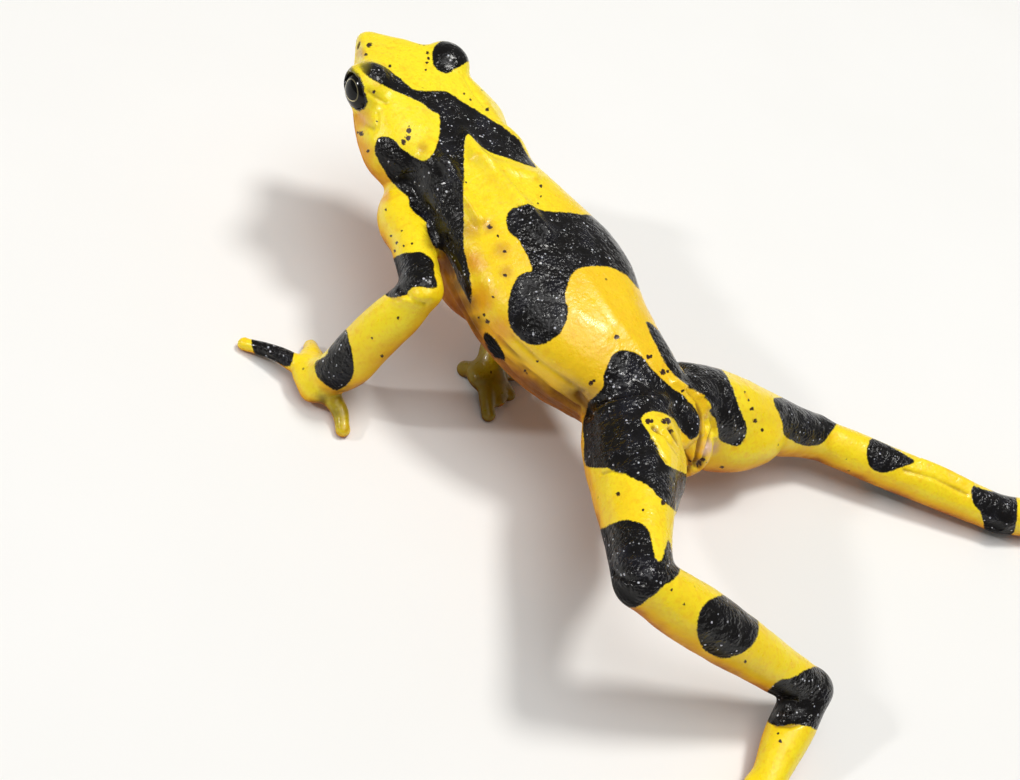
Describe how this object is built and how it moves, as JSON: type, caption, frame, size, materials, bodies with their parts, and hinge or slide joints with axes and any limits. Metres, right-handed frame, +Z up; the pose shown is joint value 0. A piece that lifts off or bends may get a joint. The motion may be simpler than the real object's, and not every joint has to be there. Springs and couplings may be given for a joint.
{
  "type": "panamanian golden frog model",
  "caption": "Life-size still model of a Panamanian golden frog that walks with its body raised on its limbs, for use as an animal figure",
  "frame": {"origin": "On the floor, under the middle of the model's box", "axes": "+Z up. The frog faces -Y and its left side is +X. The floor is z = 0"},
  "size_m": [0.0696, 0.076, 0.0195],
  "materials": {
    "skin": "moist smooth skin, bright yellow with black blotches in the render",
    "eye": "polished black"
  },
  "bodies": {
    "root": {"head": "skin", "torso": "skin", "left_upper_arm": "skin", "left_forearm": "skin", "left_hand": "skin", "right_upper_arm": "skin", "right_forearm": "skin", "right_hand": "skin", "left_thigh": "skin", "left_shank": "skin", "left_tarsus": "skin", "left_foot": "skin", "right_thigh": "skin", "right_shank": "skin", "right_tarsus": "skin", "right_foot": "skin", "eye_left": "eye", "eye_right": "eye"}
  },
  "joints": []
}
